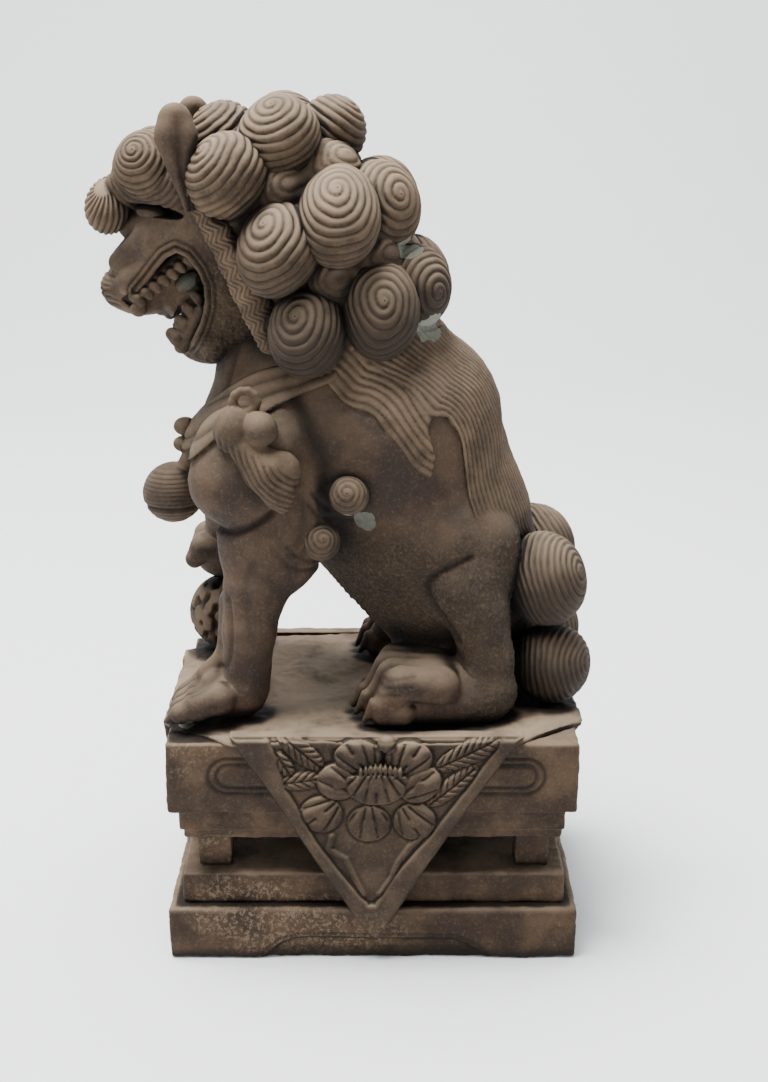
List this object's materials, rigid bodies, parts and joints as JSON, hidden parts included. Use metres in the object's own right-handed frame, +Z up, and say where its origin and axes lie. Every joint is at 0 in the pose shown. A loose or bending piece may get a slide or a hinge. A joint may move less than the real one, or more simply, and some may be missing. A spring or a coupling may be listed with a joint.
{
  "type": "carved stone guardian lion statue",
  "caption": "Seated guardian lion carved in brown stone with a curled mane, a bell on its collar and a paw on a ball, on a pedestal with an altar cloth.",
  "frame": {"origin": "centre of the flat underside of the pedestal's foot", "axes": "+Z up, -Y the way the lion faces, +X the lion's left side"},
  "size_m": [0.1136, 0.1767, 0.3008],
  "materials": {
    "plinth_stone": "matte, hand carved",
    "cloth_stone": "matte, hand carved",
    "body_stone": "matte, hand carved",
    "hair_stone": "matte, hand carved",
    "mane_stone": "matte, hand carved",
    "face_stone": "matte, hand carved",
    "tooth_stone": "matte, hand carved",
    "trim_stone": "matte, hand carved"
  },
  "bodies": {
    "root": {"plinth_foot": "plinth_stone", "plinth_step": "plinth_stone", "corner_posts": "plinth_stone", "plinth_frieze": "plinth_stone", "plinth_slab": "plinth_stone", "cloth_top": "cloth_stone", "cloth_flap_left": "cloth_stone", "cloth_flap_right": "cloth_stone", "cloth_flap_front": "cloth_stone", "cloth_flap_back": "cloth_stone", "torso": "body_stone", "hair_cape": "hair_stone", "mane_core": "mane_stone", "head": "face_stone", "jaw": "face_stone", "upper_teeth": "tooth_stone", "lower_teeth": "tooth_stone", "tongue": "face_stone", "eyes": "face_stone", "collar": "trim_stone", "bell": "trim_stone", "brocade_ball": "trim_stone", "mane_curl_crown": "mane_stone", "foreleg_left": "body_stone", "forepaw_left": "body_stone", "hindleg_left": "body_stone", "hindpaw_left": "body_stone", "ear_left": "face_stone", "brow_curls_left": "hair_stone", "whiskers_left": "hair_stone", "ribbon_left": "trim_stone", "elbow_curls_left": "hair_stone", "tail_curls_left": "hair_stone", "foreleg_right": "body_stone", "forepaw_right": "body_stone", "hindleg_right": "body_stone", "hindpaw_right": "body_stone", "ear_right": "face_stone", "brow_curls_right": "hair_stone", "whiskers_right": "hair_stone", "ribbon_right": "trim_stone", "elbow_curls_right": "hair_stone", "tail_curls_right": "hair_stone", "mane_curl_left_1": "mane_stone", "mane_curl_left_2": "mane_stone", "mane_curl_left_3": "mane_stone", "mane_curl_left_4": "mane_stone", "mane_curl_left_5": "mane_stone", "mane_curl_left_6": "mane_stone", "mane_curl_left_7": "mane_stone", "mane_curl_left_8": "mane_stone", "mane_curl_right_1": "mane_stone", "mane_curl_right_2": "mane_stone", "mane_curl_right_3": "mane_stone", "mane_curl_right_4": "mane_stone", "mane_curl_right_5": "mane_stone", "mane_curl_right_6": "mane_stone", "mane_curl_right_7": "mane_stone", "mane_curl_right_8": "mane_stone"}
  },
  "joints": []
}
